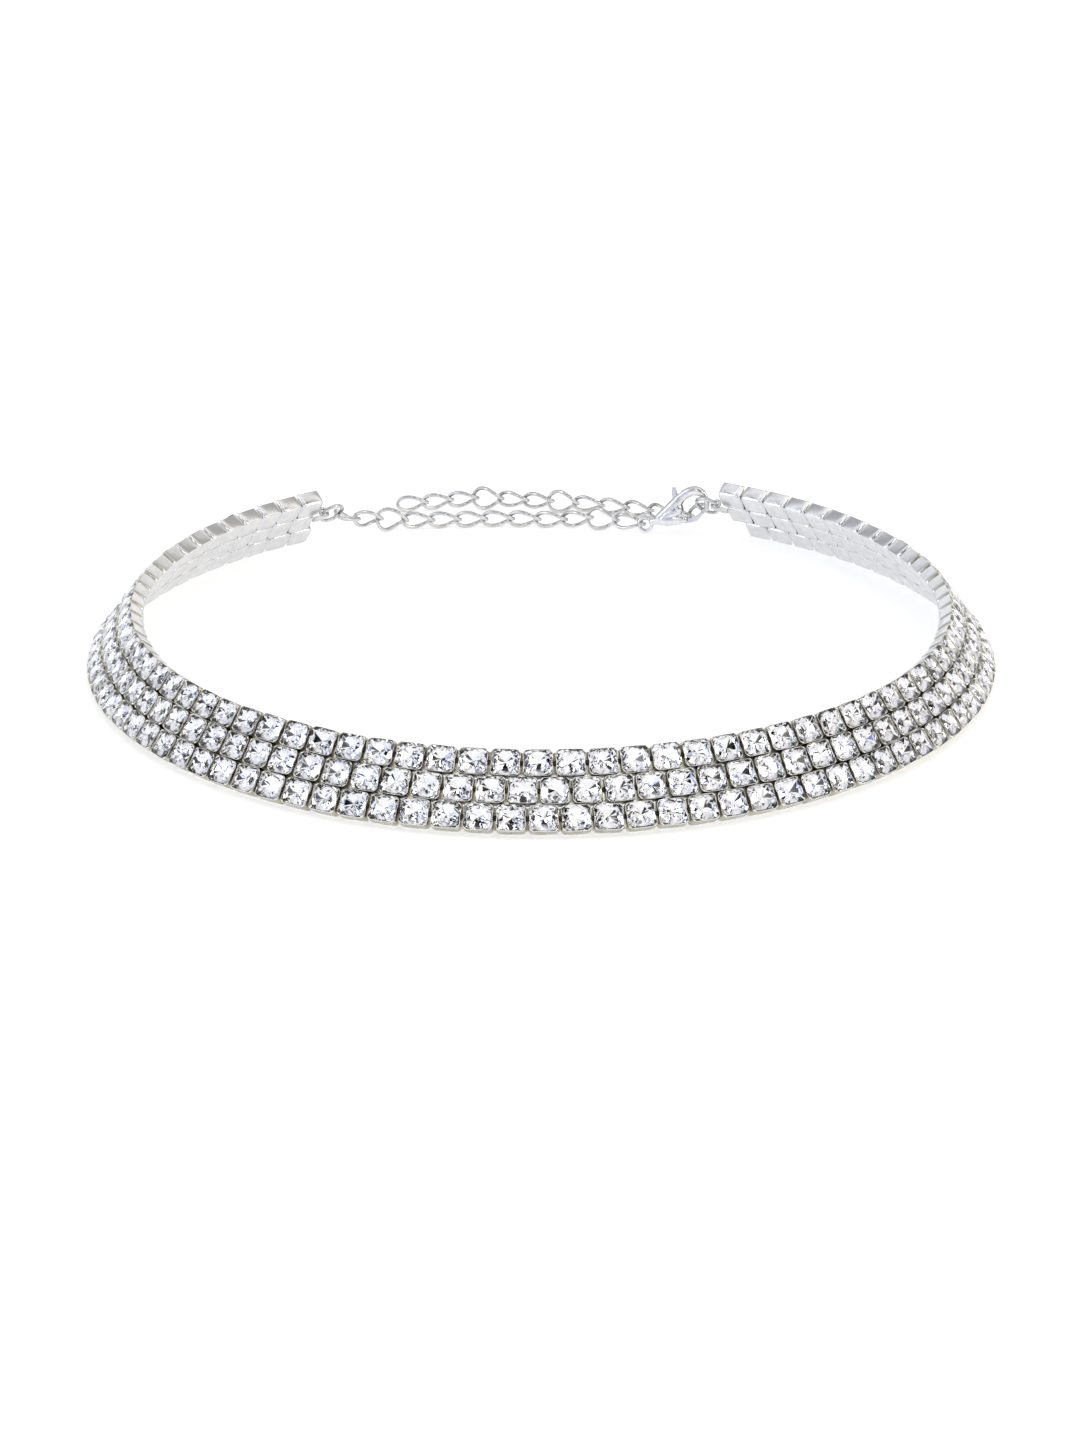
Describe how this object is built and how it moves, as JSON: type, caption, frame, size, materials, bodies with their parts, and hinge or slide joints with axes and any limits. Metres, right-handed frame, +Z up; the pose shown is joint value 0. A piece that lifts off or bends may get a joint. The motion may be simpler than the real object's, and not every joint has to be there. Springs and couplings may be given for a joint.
{
  "type": "choker necklace",
  "caption": "Flared choker of three rows of square-cupped cut stones, closed at the back by a curb chain, a lobster clasp and an extension chain.",
  "frame": {"origin": "centre of the neck opening, on the surface that the choker's lower edge rests on", "axes": "+Z up, along the axis of the ring; -Y towards the front of the throat; the chain and clasp are at +Y"},
  "size_m": [0.124, 0.1266, 0.0095],
  "materials": {
    "stones_in_silver": "clear cut stones in bright silver-plated cups",
    "silver": "polished silver plate",
    "chain_silver": "polished silver wire"
  },
  "bodies": {
    "necklace": {"row_top": "stones_in_silver", "row_middle": "stones_in_silver", "row_bottom": "stones_in_silver", "end_plate_left": "silver", "end_plate_right": "silver", "jump_ring_left": "chain_silver", "jump_ring_right": "chain_silver", "link_01": "chain_silver", "link_02": "chain_silver", "link_03": "chain_silver", "link_04": "chain_silver", "link_05": "chain_silver", "link_06": "chain_silver", "link_07": "chain_silver", "link_08": "chain_silver", "link_09": "chain_silver", "link_10": "chain_silver", "link_11": "chain_silver", "link_12": "chain_silver", "tail_link_01": "chain_silver", "tail_link_02": "chain_silver", "tail_link_03": "chain_silver", "tail_link_04": "chain_silver", "tail_link_05": "chain_silver", "tail_link_06": "chain_silver", "tail_link_07": "chain_silver", "tail_link_08": "chain_silver", "tail_link_09": "chain_silver", "tail_link_10": "chain_silver", "tail_link_11": "chain_silver", "tail_link_12": "chain_silver", "tail_link_13": "chain_silver", "clasp_body": "silver"},
    "lever": {"clasp_lever": "silver"}
  },
  "joints": [
    {"name": "lever_hinge", "type": "hinge", "parent": "necklace", "child": "lever", "pos_m": [0.02104, 0.05094, 0.00285], "axis": [-0.2731, -0.9256, 0.2619], "range_deg": [0, 20], "stiffness_Nm_per_rad": 0.0005}
  ]
}
